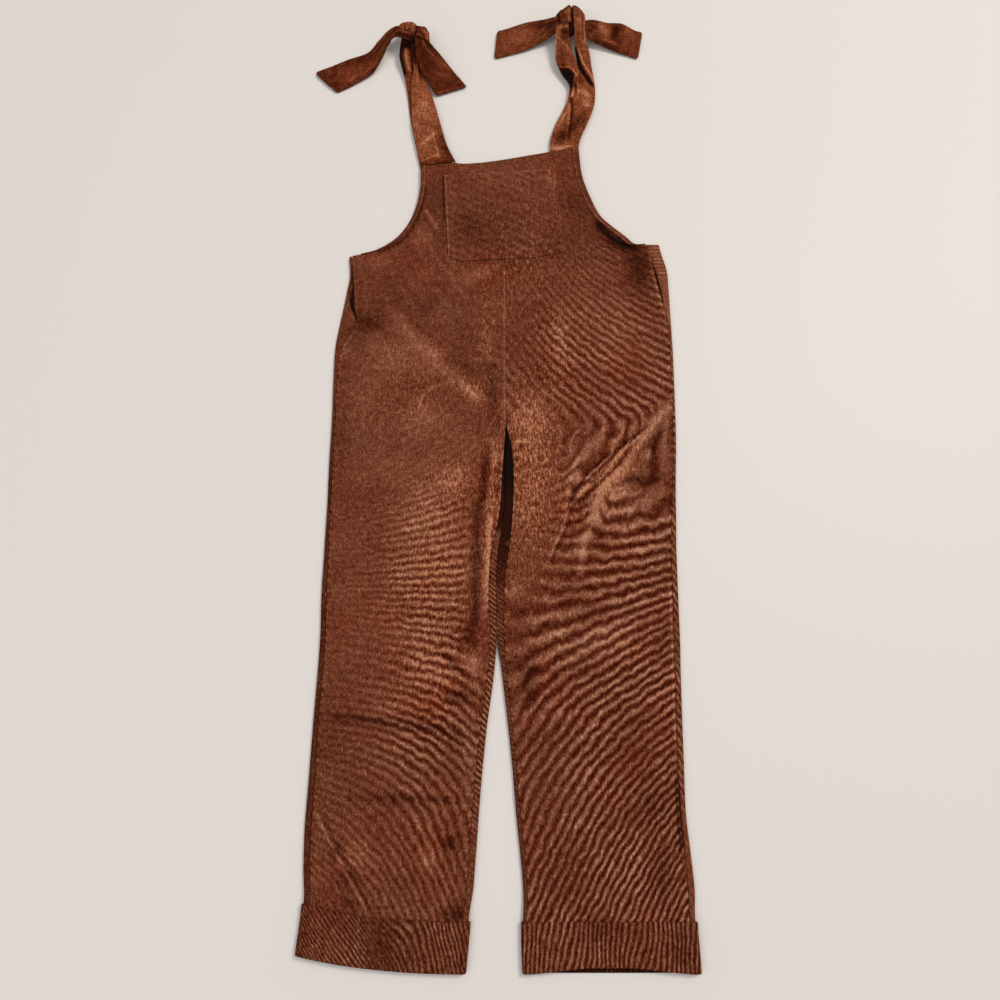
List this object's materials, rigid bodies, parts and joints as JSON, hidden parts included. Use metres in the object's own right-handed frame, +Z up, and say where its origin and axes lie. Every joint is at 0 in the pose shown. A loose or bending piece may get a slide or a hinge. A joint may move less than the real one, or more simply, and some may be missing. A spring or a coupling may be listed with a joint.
{
  "type": "bib overalls laid flat",
  "caption": "Bib overalls in rust brown fine corduroy, lying flat with turned-up hems, a bib pocket and shoulder straps tied in knots.",
  "frame": {"origin": "centre of the garment's outline, on the surface it lies on", "axes": "+Y from the hems to the shoulder straps, +X to the right as seen from above, +Z up from the surface"},
  "size_m": [0.5634, 1.4389, 0.0337],
  "materials": {
    "front_corduroy": "rust brown fine-wale corduroy with a soft nap",
    "back_corduroy": "the same corduroy, seen along its rolled edges, darker and redder",
    "pocket_corduroy": "the same corduroy, faint bands",
    "band_corduroy": "the same corduroy, turned and topstitched",
    "cuff_corduroy": "the same corduroy, turned up, inside out of the same cloth",
    "strap_corduroy": "the same corduroy with its nap reversed, lighter and more orange"
  },
  "bodies": {
    "root": {"front_left": "front_corduroy", "front_right": "front_corduroy", "back_left": "back_corduroy", "back_right": "back_corduroy", "side_pocket_left": "back_corduroy", "side_pocket_right": "back_corduroy", "bib_pocket": "pocket_corduroy", "armhole_band_left": "band_corduroy", "armhole_band_right": "band_corduroy", "cuff_left_front": "cuff_corduroy", "cuff_left_back": "cuff_corduroy", "cuff_right_front": "cuff_corduroy", "cuff_right_back": "cuff_corduroy", "strap_front_left": "strap_corduroy", "strap_front_right": "strap_corduroy", "strap_back_left": "strap_corduroy", "strap_back_right": "strap_corduroy", "knot_left": "strap_corduroy", "knot_right": "strap_corduroy", "tie_left_outer": "strap_corduroy", "tie_left_inner": "strap_corduroy", "tie_right_inner": "strap_corduroy", "tie_right_outer": "strap_corduroy"}
  },
  "joints": []
}
